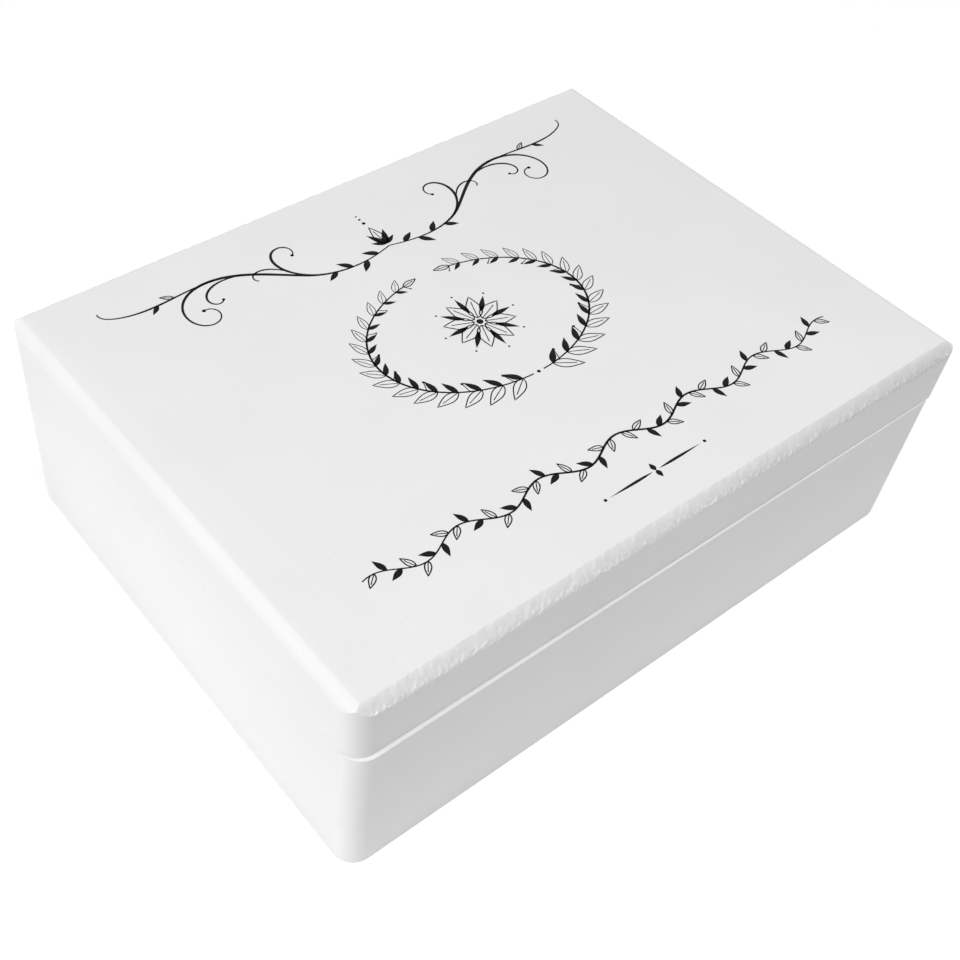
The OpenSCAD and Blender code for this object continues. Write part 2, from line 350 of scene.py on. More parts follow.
def painted_piece(node, body, material, free_levels, softness):
    """A board in the frame's own shape, with its arrises rounded by sanding and paint: more
    at the levels where it stands free, and a hairline where it is glued to the next piece."""
    name = node + "_painted"
    same_point = 0.001 * MM
    flat = math.radians(1)
    steep = math.radians(35)
    crease = math.radians(28)
    shape = bmesh.new()
    shape.from_mesh(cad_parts[node].data)
    bmesh.ops.remove_doubles(shape, verts=shape.verts, dist=same_point)
    bmesh.ops.dissolve_limit(shape, angle_limit=flat, verts=shape.verts, edges=shape.edges)
    mesh = bpy.data.meshes.new(name)
    shape.to_mesh(mesh)
    weights = mesh.attributes.new("bevel_weight_edge", "FLOAT", "EDGE")
    shape.edges.ensure_lookup_table()
    for edge in shape.edges:
        if edge.calc_face_angle() > steep and not on_level(edge, (glued_level,)):
            free = on_level(edge, free_levels)
            weights.data[edge.index].value = 1.0 if free else joint_softness / softness
    shape.free()
    if body == "lid":
        for vertex in mesh.vertices:
            vertex.co = skewed(sharper_corner(vertex.co))
    if node in TIGHT_RAILS:
        for vertex in mesh.vertices:
            if vertex.co.z < (rail_bottom + glued_level) / 2:
                vertex.co.z -= tighter_by
    rough = new_object(name + "_rough", mesh)
    softened = rough.modifiers.new("softened", "BEVEL")
    softened.limit_method = "WEIGHT"
    softened.width = softness
    softened.segments = 3
    softened.use_clamp_overlap = True
    evaluated = rough.evaluated_get(bpy.context.evaluated_depsgraph_get())
    finished = bpy.data.meshes.new_from_object(evaluated)
    finished.name = name
    bpy.data.objects.remove(rough)
    finished.materials.clear()
    finished.materials.append(material)
    finished.shade_smooth()
    finished.set_sharp_from_angle(angle=crease)
    piece = new_object(name, finished)
    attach(piece, body)
    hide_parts(node)


for node in BASE_BOARDS:
    finish = pine_along_x if node in ("body_front_board", "body_back_board") else pine_along_y
    painted_piece(node, "base", finish, (base_low.z, rim_height), rim_softness)
for node in LID_RAILS:
    finish = pine_along_x if node in ("lid_front_rail", "lid_back_rail") else pine_along_y
    painted_piece(node, "lid", finish, (rail_bottom,), seam_softness)
painted_piece("bottom_panel", "base", plywood_paint, (), rim_softness)


# ---- Lid panel -------------------------------------------------------------


def rounded_panel_tree():
    """Sweeps the rounded edge round the lid's outline, then lets each side's rounding run
    straight on, so that two of them meet in a mitre above each upright corner. Last comes
    the relief of the paint over the ply's torn end grain, on the front and back edges."""
    sizes = (
        "Length",
        "Depth",
        "Thickness",
        "Corner Radius",
        "Front Right Radius",
        "Edge Run",
        "Flatter Run",
        "Arc Radius",
        "Start Angle",
        "End Angle",
        "Rounder Arc Radius",
        "Rounder Start Angle",
        "Flat Margin",
        "Spacing",
        "Border Wander",
        "Tooth Height",
        "Face Wander",
        "Striation Depth",
        "Dent Depth",
        "Pit Depth",
    )
    tree, given = geometry_tree("rounded_panel", sizes, ("Edge Steps",))

    def arc_drop(outward, radius, start):
        """How far an edge has dropped at a distance out from its upper crease."""
        largest_sine = 0.999
        start_cosine = add(tree, "ShaderNodeMath:COSINE", start)
        start_sine = add(tree, "ShaderNodeMath:SINE", start)
        sine = add(tree, "ShaderNodeMath:DIVIDE", outward, radius)
        sine = add(tree, "ShaderNodeMath:ADD", sine, start_sine)
        sine = add(tree, "ShaderNodeMath:MINIMUM", sine, largest_sine)
        square = add(tree, "ShaderNodeMath:MULTIPLY", sine, sine)
        square = add(tree, "ShaderNodeMath:SUBTRACT", 1.0, square)
        cosine = add(tree, "ShaderNodeMath:SQRT", square)
        fallen = add(tree, "ShaderNodeMath:SUBTRACT", start_cosine, cosine)
        return add(tree, "ShaderNodeMath:MULTIPLY", radius, fallen)

    # The outline, whose front right corner is sharper
    corner_points = 24
    corner = add(tree, "GeometryNodeInputPosition")
    corner = add(tree, "ShaderNodeSeparateXYZ", corner, output=None).outputs
    at_right = add(tree, "ShaderNodeMath:GREATER_THAN", corner["X"], 0)
    at_front = add(tree, "ShaderNodeMath:LESS_THAN", corner["Y"], 0)
    less = add(
        tree, "ShaderNodeMath:SUBTRACT", given["Corner Radius"], given["Front Right Radius"]
    )
    less = add(tree, "ShaderNodeMath:MULTIPLY", less, at_right)
    less = add(tree, "ShaderNodeMath:MULTIPLY", less, at_front)
    radius = add(tree, "ShaderNodeMath:SUBTRACT", given["Corner Radius"], less)
    outline = add(
        tree, "GeometryNodeCurvePrimitiveQuadrilateral", given["Length"], given["Depth"]
    )
    outline = add(
        tree,
        "GeometryNodeFilletCurve",
        {"Curve": outline, "Radius": radius, "Count": corner_points},
        mode="POLY",
    )
    outline = add(
        tree,
        "GeometryNodeResampleCurve",
        {"Curve": outline, "Length": given["Spacing"]},
        mode="LENGTH",
    )
    outline = add(tree, "GeometryNodeSetCurveNormal", {"Curve": outline}, mode="Z_UP")

    # The edge from below: the foot of its upright face, the arc, and a flat margin inside it
    extra_points = 3
    between_points = 0.5
    index = add(tree, "GeometryNodeInputIndex")
    steps = given["Edge Steps"]
    point_count = add(tree, "ShaderNodeMath:ADD", steps, extra_points)
    edge = add(tree, "GeometryNodeCurvePrimitiveLine")
    edge = add(
        tree, "GeometryNodeResampleCurve", {"Curve": edge, "Count": point_count}, mode="COUNT"
    )
    step = add(tree, "ShaderNodeMath:SUBTRACT", index, 1)
    share = add(tree, "ShaderNodeMapRange", step, 0.0, steps)
    angle = add(
        tree, "ShaderNodeMapRange", share, 0.0, 1.0, given["End Angle"], given["Start Angle"]
    )
    start_sine = add(tree, "ShaderNodeMath:SINE", given["Start Angle"])
    sine = add(tree, "ShaderNodeMath:SINE", angle)
    outward = add(tree, "ShaderNodeMath:SUBTRACT", sine, start_sine)
    outward = add(tree, "ShaderNodeMath:MULTIPLY", given["Arc Radius"], outward)
    before_last = extra_points - 1 - between_points
    before_last = add(tree, "ShaderNodeMath:ADD", steps, before_last)
    is_last = add(tree, "ShaderNodeMath:GREATER_THAN", index, before_last)
    inner = add(tree, "ShaderNodeMath:MULTIPLY", given["Flat Margin"], is_last)
    inward = add(tree, "ShaderNodeMath:SUBTRACT", given["Flatter Run"], outward)
    inward = add(tree, "ShaderNodeMath:ADD", inward, inner)
    inward = add(tree, "ShaderNodeMath:MULTIPLY", inward, -1)
    is_foot = add(tree, "ShaderNodeMath:LESS_THAN", index, between_points)
    below = add(tree, "ShaderNodeMath:MULTIPLY", is_foot, given["Thickness"])
    section = add(tree, "ShaderNodeCombineXYZ", inward, below, 0.0)
    edge = add(tree, "GeometryNodeSetPosition", {"Geometry": edge, "Position": section})
    panel = add(tree, "GeometryNodeCurveToMesh", {"Curve": outline, "Profile Curve": edge})

    # How far each point has dropped: the rounder ends, and the flatter front and back, whose
    # lower border is ragged
    position = add(tree, "GeometryNodeInputPosition")
    apart = add(tree, "ShaderNodeSeparateXYZ", position, output=None).outputs
    half_length = add(tree, "ShaderNodeMath:DIVIDE", given["Length"], 2)
    half_depth = add(tree, "ShaderNodeMath:DIVIDE", given["Depth"], 2)
    from_middle = add(tree, "ShaderNodeMath:ABSOLUTE", apart["X"])
    from_end = add(tree, "ShaderNodeMath:SUBTRACT", half_length, from_middle)
    end_out = add(tree, "ShaderNodeMath:SUBTRACT", given["Edge Run"], from_end)
    end_out = add(tree, "ShaderNodeMath:MAXIMUM", end_out, 0)
    end_drop = arc_drop(end_out, given["Rounder Arc Radius"], given["Rounder Start Angle"])

    # Each wander is a noise of a size, less the level that is to be its nought
    wander = {}
    for title, size, detail, level in (
        ("Border Wander", 5 * MM, 3.5, 0.6),
        ("Face Wander", 12 * MM, 2.0, 0.5),
        ("Tooth Height", 1.9 * MM, 3.0, 0.58),
    ):
        noise = add(
            tree, "ShaderNodeTexNoise", {"Vector": position, "Scale": 1 / size, "Detail": detail}
        )
        noise = add(tree, "ShaderNodeMath:SUBTRACT", noise, level)
        wander[title] = add(tree, "ShaderNodeMath:MULTIPLY", noise, given[title])

    from_middle = add(tree, "ShaderNodeMath:ABSOLUTE", apart["Y"])
    from_side = add(tree, "ShaderNodeMath:SUBTRACT", half_depth, from_middle)
    side_out = add(tree, "ShaderNodeMath:SUBTRACT", given["Flatter Run"], from_side)
    side_out = add(tree, "ShaderNodeMath:ADD", side_out, wander["Border Wander"])
    side_out = add(tree, "ShaderNodeMath:MAXIMUM", side_out, 0)
    side_drop = arc_drop(side_out, given["Arc Radius"], given["Start Angle"])
    past_crease = add(tree, "ShaderNodeMath:SIGN", side_out)
    face_shift = add(tree, "ShaderNodeMath:MULTIPLY", wander["Face Wander"], past_crease)
    side_drop = add(tree, "ShaderNodeMath:ADD", side_drop, face_shift)
    teeth_start, teeth_full = 3.4 * MM, 6.2 * MM
    near_border = add(tree, "ShaderNodeMapRange", side_out, teeth_start, teeth_full)
    teeth = add(tree, "ShaderNodeMath:MULTIPLY", wander["Tooth Height"], near_border)
    side_drop = add(tree, "ShaderNodeMath:ADD", side_drop, teeth)

    least_wall = 0.05 * MM
    deepest = add(tree, "ShaderNodeMath:SUBTRACT", given["Thickness"], least_wall)
    drop = add(tree, "ShaderNodeMath:MAXIMUM", end_drop, side_drop)
    drop = add(tree, "ShaderNodeMath:MAXIMUM", drop, 0)
    drop = add(tree, "ShaderNodeMath:MINIMUM", drop, deepest)
    drop = add(tree, "ShaderNodeMath:MULTIPLY", drop, -1)
    half_down = add(tree, "ShaderNodeMath:MULTIPLY", given["Thickness"], -0.5)
    above_foot = add(tree, "ShaderNodeMath:GREATER_THAN", apart["Z"], half_down)
    lowered = add(tree, "ShaderNodeCombineXYZ", apart["X"], apart["Y"], drop)
    panel = add(
        tree,
        "GeometryNodeSetPosition",
        {"Geometry": panel, "Selection": above_foot, "Position": lowered},
    )

    # The relief: upright striations, broader dents, and pits along the lower border. Each is
    # a noise of a size along X, stretched to a height
    relief_start, relief_full = 0.0, 0.5 * MM
    relief_fades, relief_end = 4.8 * MM, 6.0 * MM
    pits_start, pits_full = 3.0 * MM, 5.0 * MM
    below = add(tree, "ShaderNodeMath:MULTIPLY", apart["Z"], -1)
    on_side = add(tree, "ShaderNodeMath:GREATER_THAN", side_drop, end_drop)
    below_crease = add(tree, "ShaderNodeMapRange", below, relief_start, relief_full)
    above_seam = add(tree, "ShaderNodeMapRange", below, relief_end, relief_fades)
    on_border = add(tree, "ShaderNodeMapRange", below, pits_start, pits_full)

    mean_noise, pit_bottom = 0.5, 0.72
    pressed = {}
    for title, size, height, detail in (
        ("Striation Depth", 1.4 * MM, 5 * MM, 2.0),
        ("Dent Depth", 3.2 * MM, 4.5 * MM, 1.5),
        ("Pit Depth", 1.8 * MM, 2.2 * MM, 1.0),
    ):
        stretch = (1, size / height, size / height)
        squashed = add(tree, "ShaderNodeVectorMath:MULTIPLY", position, stretch)
        noise = add(
            tree, "ShaderNodeTexNoise", {"Vector": squashed, "Scale": 1 / size, "Detail": detail}
        )
        if title == "Pit Depth":
            noise = add(tree, "ShaderNodeMapRange", noise, mean_noise, pit_bottom)
            noise = add(tree, "ShaderNodeMath:MULTIPLY", noise, on_border)
        else:
            noise = add(tree, "ShaderNodeMath:SUBTRACT", noise, mean_noise)
        pressed[title] = add(tree, "ShaderNodeMath:MULTIPLY", noise, given[title])
    amount = add(tree, "ShaderNodeMath:ADD", pressed["Striation Depth"], pressed["Dent Depth"])
    amount = add(tree, "ShaderNodeMath:ADD", amount, pressed["Pit Depth"])
    for share in (on_side, below_crease, above_seam, -1):
        amount = add(tree, "ShaderNodeMath:MULTIPLY", amount, share)
    normal = add(tree, "GeometryNodeInputNormal")
    offset = add(tree, "ShaderNodeVectorMath:SCALE", {0: normal, "Scale": amount})
    panel = add(
        tree,
        "GeometryNodeSetPosition",
        {"Geometry": panel, "Selection": above_foot, "Offset": offset},
    )
    panel = add(tree, "GeometryNodeSetShadeSmooth", panel)
    return finish_tree(tree, given, panel)


def make_lid_panel():
    """The plywood panel on top of the lid, lowered by the thickness of the print."""

    def arc(run, turn):
        """The radius of an edge's arc, and its angles at the crease and at the foot."""
        middle = math.atan2(edge_drop, run)
        radius = math.hypot(run, edge_drop) / (2 * math.sin(turn / 2))
        return radius, middle - turn / 2, middle + turn / 2

    flatter_radius, flatter_start, flatter_end = arc(front_run, front_turn)
    rounder_radius, rounder_start, _ = arc(edge_run, end_turn)
    values = {
        "Length": box_length,
        "Depth": lid_depth,
        "Thickness": panel_thickness - ink_thickness,
        "Corner Radius": corner_radius,
        "Front Right Radius": sharp_radius,
        "Edge Run": edge_run,
        "Flatter Run": front_run,
        "Arc Radius": flatter_radius,
        "Start Angle": flatter_start,
        "End Angle": flatter_end,
        "Rounder Arc Radius": rounder_radius,
        "Rounder Start Angle": rounder_start,
        "Flat Margin": 0.7 * MM,
        "Spacing": 0.42 * MM,
        "Border Wander": 1.5 * MM,
        "Tooth Height": 5.0 * MM,
        "Face Wander": 0.3 * MM,
        "Striation Depth": 0.2 * MM,
        "Dent Depth": 0.35 * MM,
        "Pit Depth": 0.4 * MM,
        "Edge Steps": 20,
        "Material": plywood_paint,
    }
    crease = math.radians(24)
    seed_mesh = bpy.data.meshes.new("panel_start")
    mesh = grown(rounded_panel_tree(), "lid_top_panel_painted", seed_mesh, values)
    mesh.transform(Matrix.Translation((0, lid_middle_y, panel_high.z - ink_thickness)))
    for vertex in mesh.vertices:
        vertex.co = skewed(vertex.co)
    shape = bmesh.new()
    shape.from_mesh(mesh)
    rims = [edge for edge in shape.edges if edge.is_boundary]
    bmesh.ops.holes_fill(shape, edges=rims, sides=0)
    bmesh.ops.recalc_face_normals(shape, faces=shape.faces)
    shape.to_mesh(mesh)
    shape.free()
    mesh.set_sharp_from_angle(angle=crease)
    piece = new_object("lid_top_panel_painted", mesh)
    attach(piece, "lid")
    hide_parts("lid_top_panel")


make_lid_panel()


# ---- Ornament --------------------------------------------------------------
# A generic leaf ornament, screen-printed on the lid. It is drawn in millimetres from the
# middle of the lid, the right half only, and each mark is printed again in mirror image.

PEN_STEP = 0.6
OUTLINE = 0.65  # width of the line round an open leaf
BOTH_HALVES = (1, -1)
MIDDLE_ONLY = (1,)


def pen(start, heading, bends):
    """A line drawn from a start in a direction, in degrees, through bends. Each bend is its
    length and its turn, in degrees per millimetre, at its two ends. Gives x, y and direction."""
    x, y = start
    direction = math.radians(heading)
    points = [(x, y, direction)]
    for length, first_turn, last_turn in bends:
        steps = max(2, round(length / PEN_STEP))
        step = length / steps
        for number in range(steps):
            share = (number + 0.5) / steps
            turn = math.radians(first_turn + (last_turn - first_turn) * share) * step
            direction += turn / 2
            x += step * math.cos(direction)
            y += step * math.sin(direction)
            direction += turn / 2
            points.append((x, y, direction))
    return points


def at(line, share):
    """The place and the heading, in degrees, at a share of a line's length."""
    x, y, direction = line[round(share * (len(line) - 1))]
    return (x, y), math.degrees(direction)


def branch(line, share, heading, bends):
    """A line that leaves another one at a share of its length."""
    place, along = at(line, share)
    return pen(place, along + heading, bends)


def pressed_flat(tree, given, made):
    """Swept lines made as thick as the ink: what lies above their middle is the print's top."""
    made = add(tree, "GeometryNodeRealizeInstances", made)
    position = add(tree, "GeometryNodeInputPosition")
    apart = add(tree, "ShaderNodeSeparateXYZ", position, output=None).outputs
    upper = add(tree, "ShaderNodeMath:GREATER_THAN", apart["Z"], 0.0)
    height = add(tree, "ShaderNodeMath:MULTIPLY", upper, given["Thickness"])
    flat = add(tree, "ShaderNodeCombineXYZ", apart["X"], apart["Y"], height)
    return add(tree, "GeometryNodeSetPosition", {"Geometry": made, "Position": flat})


def swept(tree, line, half_width):
    """A line swept with a square whose half side is half_width."""
    square = add(tree, "GeometryNodeCurvePrimitiveQuadrilateral", 2.0, 2.0)
    line = add(tree, "GeometryNodeSetCurveNormal", {"Curve": line}, mode="Z_UP")
    return add(
        tree,
        "GeometryNodeCurveToMesh",
        {"Curve": line, "Profile Curve": square, "Scale": half_width, "Fill Caps": True},
    )


def printed_line_tree():
    """Turns the edges it is given into lines of ink, as wide as their half_width says."""
    tree, given = geometry_tree("printed_line", ("Thickness",))
    line = add(tree, "GeometryNodeMeshToCurve", {"Mesh": given["Geometry"]})
    half_width = add(tree, "GeometryNodeInputNamedAttribute", {"Name": "half_width"})
    return finish_tree(tree, given, pressed_flat(tree, given, swept(tree, line, half_width)))


def printed_leaf_tree():
    """Stamps a leaf on every point it is given, turned by its heading and scaled by its size:
    a solid leaf, or its outline and vein where Outline is above zero, or a dot."""
    sizes = ("Leaf Length", "Leaf Width", "Outline", "Thickness")
    tree, given = geometry_tree("printed_leaf", sizes, ("Is Dot",))
    length = given["Leaf Length"]
    index = add(tree, "GeometryNodeInputIndex")
    widest = add(tree, "ShaderNodeMath:DIVIDE", given["Leaf Width"], 2)
    line_half = add(tree, "ShaderNodeMath:DIVIDE", given["Outline"], 2)

    def half_width(share):
        """Widest a little before the middle, and narrowing to the tip."""
        belly_place, tip_taper = 0.8, 0.25
        belly = add(tree, "ShaderNodeMath:POWER", share, belly_place)
        belly = add(tree, "ShaderNodeMath:MULTIPLY", belly, math.pi)
        belly = add(tree, "ShaderNodeMath:SINE", belly)
        taper = add(tree, "ShaderNodeMath:MULTIPLY", share, tip_taper)
        taper = add(tree, "ShaderNodeMath:SUBTRACT", 1.0, taper)
        belly = add(tree, "ShaderNodeMath:MULTIPLY", belly, taper)
        return add(tree, "ShaderNodeMath:MULTIPLY", belly, widest)

    def leaf_line(count, share, across):
        """A line of points, at their shares of the leaf's length and their places across."""
        line = add(tree, "GeometryNodeCurvePrimitiveLine")
        line = add(tree, "GeometryNodeResampleCurve", {"Curve": line, "Count": count}, mode="COUNT")
        along = add(tree, "ShaderNodeMath:MULTIPLY", share, length)
        place = add(tree, "ShaderNodeCombineXYZ", along, across, 0.0)
        return add(tree, "GeometryNodeSetPosition", {"Geometry": line, "Position": place})

    solid_points = 13
    thinnest = 0.05 * MM
    share = add(tree, "ShaderNodeMath:DIVIDE", index, solid_points - 1)
    solid_half = add(tree, "ShaderNodeMath:MAXIMUM", half_width(share), thinnest)
    solid = swept(tree, leaf_line(solid_points, share, 0.0), solid_half)

    # The outline goes out along one side of the leaf and back along the other
    outline_points = 25
    round_trip = add(tree, "ShaderNodeMath:DIVIDE", index, outline_points - 1)
    share = add(tree, "ShaderNodeMath:MULTIPLY", round_trip, 2)
    share = add(tree, "ShaderNodeMath:SUBTRACT", share, 1)
    share = add(tree, "ShaderNodeMath:ABSOLUTE", share)
    share = add(tree, "ShaderNodeMath:SUBTRACT", 1.0, share)
    side = add(tree, "ShaderNodeMath:SUBTRACT", 0.5, round_trip)
    side = add(tree, "ShaderNodeMath:SIGN", side)
    across = add(tree, "ShaderNodeMath:MULTIPLY", half_width(share), side)
    outline = swept(tree, leaf_line(outline_points, share, across), line_half)

    vein_share = 0.75
    finer = 0.8
    share = add(tree, "ShaderNodeMath:MULTIPLY", index, vein_share)
    vein_half = add(tree, "ShaderNodeMath:MULTIPLY", line_half, finer)
    vein = swept(tree, leaf_line(2, share, 0.0), vein_half)
    drawn = add(tree, "GeometryNodeJoinGeometry", output=None)
    tree.links.new(outline, drawn.inputs[0])
    tree.links.new(vein, drawn.inputs[0])

    is_open = add(tree, "ShaderNodeMath:GREATER_THAN", given["Outline"], 0)
    leaf = add(
        tree,
        "GeometryNodeSwitch",
        {"Switch": is_open, "False": solid, "True": drawn.outputs[0]},
        input_type="GEOMETRY",
    )
    dot = add(tree, "GeometryNodeMeshCylinder", {"Vertices": 20, "Radius": length, "Depth": length})
    stamp = add(
        tree,
        "GeometryNodeSwitch",
        {"Switch": given["Is Dot"], "False": leaf, "True": dot},
        input_type="GEOMETRY",
    )
    heading = add(tree, "GeometryNodeInputNamedAttribute", {"Name": "heading"})
    size = add(tree, "GeometryNodeInputNamedAttribute", {"Name": "size"})
    turn = add(tree, "FunctionNodeAxisAngleToRotation", {"Axis": (0, 0, 1), "Angle": heading})
    points = add(tree, "GeometryNodeMeshToPoints", {"Mesh": given["Geometry"]})
    stamped = add(
        tree,
        "GeometryNodeInstanceOnPoints",
        {"Points": points, "Instance": stamp, "Rotation": turn, "Scale": size},
    )
    return finish_tree(tree, given, pressed_flat(tree, given, stamped))


class Motif:
    """One motif of the print: lines that swell in the middle, with leaves and dots."""

    line_tree = printed_line_tree()
    leaf_tree = printed_leaf_tree()

    def __init__(self):
        self.places = []
        self.edges = []
        self.half_widths = []
        self.stamps = {}

    def stroke(self, line, thin, thick, halves=BOTH_HALVES):
        """A line drawn with a pen that is pressed down in its middle."""
        last = len(line) - 1
        for half in halves:
            first = len(self.places)
            for number, (x, y, _) in enumerate(line):
                swell = math.sin(math.pi * number / last) ** 2
                self.places.append((half * x * MM, y * MM, 0))
                self.half_widths.append((thin + (thick - thin) * swell) / 2 * MM)
            self.edges += [(first + number, first + number + 1) for number in range(last)]

    def leaf(self, place, heading, leaf, size=1.0, is_open=False, halves=BOTH_HALVES):
        """A leaf that grows from a place in a direction. leaf is its length and its width."""
        for half in halves:
            turned = heading if half > 0 else 180 - heading
            spot = ((half * place[0] * MM, place[1] * MM, 0), math.radians(turned), size)
            self.stamps.setdefault((*leaf, is_open), []).append(spot)

    def dot(self, place, radius, halves=BOTH_HALVES):
        """A round dot."""
        for half in halves:
            spot = ((half * place[0] * MM, place[1] * MM, 0), 0, radius)
            self.stamps.setdefault("dots", []).append(spot)

    def stamped(self, kind, spots):
        """All leaves of one kind, or all dots."""
        marks = bpy.data.meshes.new("spots")
        marks.from_pydata([spot[0] for spot in spots], [], [])
        for title, column in (("heading", 1), ("size", 2)):
            values = [spot[column] for spot in spots]
            marks.attributes.new(title, "FLOAT", "POINT").data.foreach_set("value", values)
        length, width, is_open = (1, 1, False) if kind == "dots" else kind
        values = {
            "Leaf Length": length * MM,
            "Leaf Width": width * MM,
            "Outline": OUTLINE * MM if is_open else 0.0,
            "Thickness": ink_thickness + ink_grip,
            "Is Dot": int(kind == "dots"),
            "Material": black_ink,
        }
        return grown(self.leaf_tree, "stamped", marks, values)

    def printed(self, name):
        """Prints the motif on the lid as one piece."""
        meshes = [self.stamped(kind, spots) for kind, spots in self.stamps.items()]
        if self.places:
            lines = bpy.data.meshes.new("lines")
            lines.from_pydata(self.places, self.edges, [])
            widths = lines.attributes.new("half_width", "FLOAT", "POINT")
            widths.data.foreach_set("value", self.half_widths)
            values = {"Thickness": ink_thickness + ink_grip, "Material": black_ink}
            meshes.append(grown(self.line_tree, "lines", lines, values))
        shape = bmesh.new()
        for mesh in meshes:
            shape.from_mesh(mesh)
        bmesh.ops.recalc_face_normals(shape, faces=shape.faces)
        level = panel_high.z - ink_thickness - ink_grip
        bmesh.ops.translate(shape, verts=shape.verts, vec=(0, lid_middle_y, level))
        whole = bpy.data.meshes.new(name)
        shape.to_mesh(whole)
        shape.free()
        whole.materials.append(black_ink)
        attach(new_object(name, whole), "lid")


def print_flourish():
    """A long stem that rises to both sides and curls over, with four curling tendrils, a
    bud in the middle and three dots above it."""
    motif = Motif()
    thin = 0.75
    stem_leaf, stem_leaf_angle = (9, 3.6), 42
    tail_leaf, tail_leaf_angle = (8, 3), 38
    bud_leaf, side_leaf, low_leaf = (17, 6.6), (13, 4.2), (9, 3.2)
    stem = pen((0, 84), -16, [(56, 0.45, 1.4), (52, 0.35, -1.55), (38, -1.55, -4.0), (34, -4.0, -12)])
    upper = branch(stem, 0.24, 4, [(30, 0.9, 3.2), (30, 3.2, 13)])
    lower = branch(stem, 0.5, -10, [(24, -0.6, -4.2), (18, -4.2, -18)])
    tail = branch(stem, 0.585, -2, [(36, -0.9, 0.5), (24, 0.5, 1.7), (10, 1.7, 14)])
    small = branch(upper, 0.36, -6, [(16, -1.0, -5.0), (12, -5.0, -22)])
    for line, thick in ((stem, 2.0), (upper, 1.7), (lower, 1.4), (tail, 1.3), (small, 1.1)):
        motif.stroke(line, thin, thick)
    for line, radius in ((stem, 1.1), (upper, 1.0), (lower, 0.9)):
        motif.dot(at(line, 1)[0], radius)
    for share, side, size in ((0.05, 1, 1.1), (0.10, -1, 1.15), (0.155, 1, 1.1), (0.21, -1, 1.0)):
        place, along = at(stem, share)
        motif.leaf(place, along + side * stem_leaf_angle, stem_leaf, size)
    for share, side, is_open in ((0.35, 1, True), (0.5, -1, False)):
        place, along = at(tail, share)
        motif.leaf(place, along + side * tail_leaf_angle, tail_leaf, is_open=is_open)
    bud = (0, 86)
    motif.leaf(bud, 90, bud_leaf, is_open=True, halves=MIDDLE_ONLY)
    motif.leaf(bud, 64, side_leaf)
    motif.leaf(bud, 30, low_leaf)
    for height, radius in ((107.5, 1.1), (111.5, 0.8), (114.7, 0.55)):
        motif.dot((0, height), radius, MIDDLE_ONLY)
    motif.printed("lid_ornament_flourish")


WREATH_MIDDLE = 7


def print_wreath():
    """Two boughs round the middle, with open leaves outside, solid ones inside, and
    berries. The leaves grow smaller towards the top."""
    motif = Motif()
    half_width, half_height = 66, 46
    first_angle, last_angle = math.radians(3), math.radians(166)
    steps = 140
    pairs = 15
    outer_leaf, outer_angle = (17, 7), -40
    inner_leaf, inner_angle = (11.5, 4.2), 42
    tip_leaf = (10, 4)
    shrinking = 0.4
    berry_stalk, berry_angle, berry_radius = 7, 64, 0.85
    bough = []
    for number in range(steps + 1):
        angle = first_angle + (last_angle - first_angle) * number / steps
        x = half_width * math.sin(angle)
        y = WREATH_MIDDLE - half_height * math.cos(angle)
        direction = math.atan2(half_height * math.sin(angle), half_width * math.cos(angle))
        bough.append((x, y, direction))
    motif.stroke(bough, 0.8, 1.2)
    for number in range(pairs):
        share = (number + 0.5) / pairs
        place, along = at(bough, share)
        size = 1 - shrinking * share
        motif.leaf(place, along + outer_angle, outer_leaf, size, is_open=True)
        motif.leaf(place, along + inner_angle, inner_leaf, size)
        if number % 2 == 0:
            stalk = branch(bough, share + 0.5 / pairs, berry_angle, [(berry_stalk * size, 0, 0)])
            motif.stroke(stalk, 0.5, 0.5)
            motif.dot(at(stalk, 1)[0], berry_radius * size)
    motif.leaf(*at(bough, 1), tip_leaf, is_open=True)
    motif.dot((0, WREATH_MIDDLE - half_height), 1.0, MIDDLE_ONLY)
    motif.printed("lid_ornament_wreath")


def print_blossom():
    """Eight open petals and eight solid ones between them, round a dot."""
    motif = Motif()
    petals = 8
    open_petal, open_start = (17, 9.5), 3
    solid_petal, solid_start = (13, 3.4), 8
    dot_distance = 23.2

    def outwards(angle, distance):
        """The place at a distance from the middle, in a direction."""
        turn = math.radians(angle)
        return distance * math.cos(turn), WREATH_MIDDLE + distance * math.sin(turn)

    for number in range(petals):
        angle = 360 * number / petals
        between = angle + 180 / petals
        place = outwards(between, open_start)
        motif.leaf(place, between, open_petal, is_open=True, halves=MIDDLE_ONLY)
        motif.leaf(outwards(angle, solid_start), angle, solid_petal, halves=MIDDLE_ONLY)
        motif.dot(outwards(angle, dot_distance), 0.6, MIDDLE_ONLY)
    motif.dot((0, WREATH_MIDDLE), 1.9, MIDDLE_ONLY)
    motif.printed("lid_ornament_blossom")


def print_garland():
    """A waving stem across the lid, with leaves on alternate sides that point away from
    the middle: two open ones, then two solid ones."""
    motif = Motif()
    reach, level, swing = 155, -98, 4.2
    wave = math.radians(7.2)  # phase for each millimetre
    stem = []
    for x in range(reach + 1):
        y = level + swing * math.cos(wave * x)
        stem.append((x, y, math.atan(-swing * wave * math.sin(wave * x))))
    whole_stem = stem[::-1][:-1] + [(-x, y, 0) for x, y, _ in stem]
    motif.stroke(whole_stem, 0.7, 1.2, MIDDLE_ONLY)
    spacing, first_place = 6, 4
    leaf, leaf_angle = (8.5, 3.6), 48
    for number in range(reach // spacing):
        place, along = at(stem, (number * spacing + first_place) / reach)
        side = 1 if number % 2 else -1
        motif.leaf(place, along + side * leaf_angle, leaf, is_open=number % 4 < 2)
    motif.printed("lid_ornament_garland")


